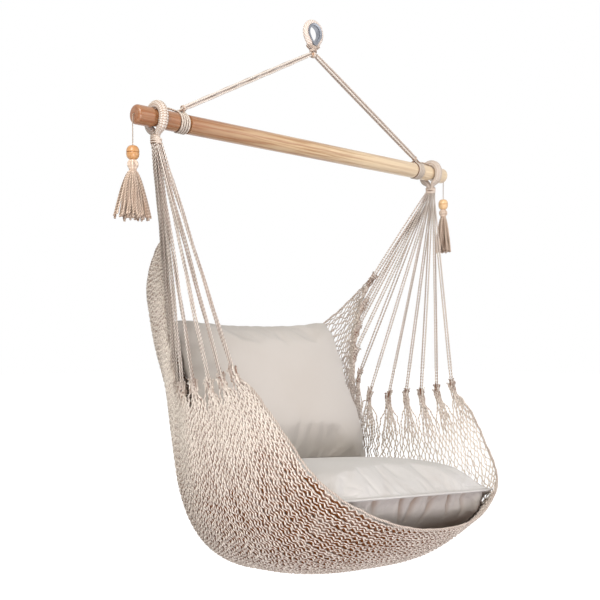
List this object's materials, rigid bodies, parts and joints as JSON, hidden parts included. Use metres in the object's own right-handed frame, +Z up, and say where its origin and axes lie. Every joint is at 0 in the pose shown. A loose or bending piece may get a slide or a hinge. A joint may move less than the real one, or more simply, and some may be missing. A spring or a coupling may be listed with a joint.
{
  "type": "hammock chair",
  "caption": "Hanging hammock chair: roped eye, wooden spreader bar, knotted net sling on fans of cord, seat cushion, back pillow and a tassel at each bar tip.",
  "frame": {"origin": "inside top of the thimble, where a hook bears on it", "axes": "+Z up, the sitter faces -Y, and the spreader bar runs along X with the end called left at -X"},
  "size_m": [1.004, 0.7027, 1.2434],
  "materials": {
    "thimble_metal": "satin",
    "eye_rope": "matte",
    "bar_wood": "satin",
    "suspension_cord": "matte",
    "side_eye_rope": "matte",
    "fan_cord": "matte",
    "tassel_yarn": "matte",
    "bead_wood": "satin",
    "net_cotton": "matte",
    "seat_canvas": "matte",
    "pillow_canvas": "matte"
  },
  "bodies": {
    "hanging_eye": {"thimble": "thimble_metal", "eye_rope": "eye_rope", "throat_seizing": "eye_rope"},
    "throat": {"throat_knot": "eye_rope"},
    "suspension": {"spreader_bar": "bar_wood", "leg_cord_left_1": "suspension_cord", "leg_cord_left_2": "suspension_cord", "leg_cord_left_3": "suspension_cord", "leg_cord_left_4": "suspension_cord", "leg_whipping_left": "suspension_cord", "hitch_winding_left": "suspension_cord", "keeper_cord_left": "suspension_cord", "leg_cord_right_1": "suspension_cord", "leg_cord_right_2": "suspension_cord", "leg_cord_right_3": "suspension_cord", "leg_cord_right_4": "suspension_cord", "leg_whipping_right": "suspension_cord", "hitch_winding_right": "suspension_cord", "keeper_cord_right": "suspension_cord"},
    "sling": {"sling_net": "net_cotton", "front_selvedge": "net_cotton", "top_selvedge": "net_cotton", "side_eye_left": "side_eye_rope", "neck_whipping_left": "side_eye_rope", "fan_cords_left_01": "fan_cord", "fan_cords_left_02": "fan_cord", "fan_cords_left_03": "fan_cord", "fan_cords_left_04": "fan_cord", "fan_cords_left_05": "fan_cord", "fan_cords_left_06": "fan_cord", "fan_cords_left_07": "fan_cord", "fan_cords_left_08": "fan_cord", "fan_cords_left_09": "fan_cord", "fan_cords_left_10": "fan_cord", "fan_cords_left_11": "fan_cord", "side_eye_right": "side_eye_rope", "neck_whipping_right": "side_eye_rope", "fan_cords_right_01": "fan_cord", "fan_cords_right_02": "fan_cord", "fan_cords_right_03": "fan_cord", "fan_cords_right_04": "fan_cord", "fan_cords_right_05": "fan_cord", "fan_cords_right_06": "fan_cord", "fan_cords_right_07": "fan_cord", "fan_cords_right_08": "fan_cord", "fan_cords_right_09": "fan_cord", "fan_cords_right_10": "fan_cord", "fan_cords_right_11": "fan_cord"},
    "tassel_left": {"tassel_twine_left": "tassel_yarn", "tassel_knot_left": "tassel_yarn", "tassel_skirt_left": "tassel_yarn"},
    "bead_left": {"bead_left": "bead_wood"},
    "tassel_right": {"tassel_twine_right": "tassel_yarn", "tassel_knot_right": "tassel_yarn", "tassel_skirt_right": "tassel_yarn"},
    "bead_right": {"bead_right": "bead_wood"},
    "seat_cushion": {"seat_cushion": "seat_canvas"},
    "back_pillow": {"back_pillow": "pillow_canvas"}
  },
  "joints": [
    {"name": "swivel", "type": "hinge", "parent": "hanging_eye", "child": "throat", "pos_m": [0, 0, -0.0565], "axis": [0, 0, 1], "range_deg": [-90, 90]},
    {"name": "swing", "type": "hinge", "parent": "throat", "child": "suspension", "pos_m": [0, 0, -0.064], "axis": [1, 0, 0], "range_deg": [-30, 30]},
    {"name": "sling_tilt", "type": "hinge", "parent": "suspension", "child": "sling", "pos_m": [0, 0, -0.279], "axis": [1, 0, 0], "range_deg": [-25, 25]},
    {"name": "tassel_swing_left", "type": "hinge", "parent": "suspension", "child": "tassel_left", "pos_m": [-0.478, 0, -0.279], "axis": [1, 0, 0], "range_deg": [-45, 45]},
    {"name": "bead_slide_left", "type": "slide", "parent": "tassel_left", "child": "bead_left", "axis": [0, 0, 1], "range_m": [0, 0.04]},
    {"name": "tassel_swing_right", "type": "hinge", "parent": "suspension", "child": "tassel_right", "pos_m": [0.478, 0, -0.279], "axis": [1, 0, 0], "range_deg": [-45, 45]},
    {"name": "bead_slide_right", "type": "slide", "parent": "tassel_right", "child": "bead_right", "axis": [0, 0, 1], "range_m": [0, 0.04]},
    {"name": "seat_cushion_lift", "type": "slide", "parent": "sling", "child": "seat_cushion", "axis": [0, -0.8, 0.6], "range_m": [0, 0.5]},
    {"name": "back_pillow_lift", "type": "slide", "parent": "seat_cushion", "child": "back_pillow", "axis": [0, -0.7071, 0.7071], "range_m": [0, 0.5]}
  ]
}
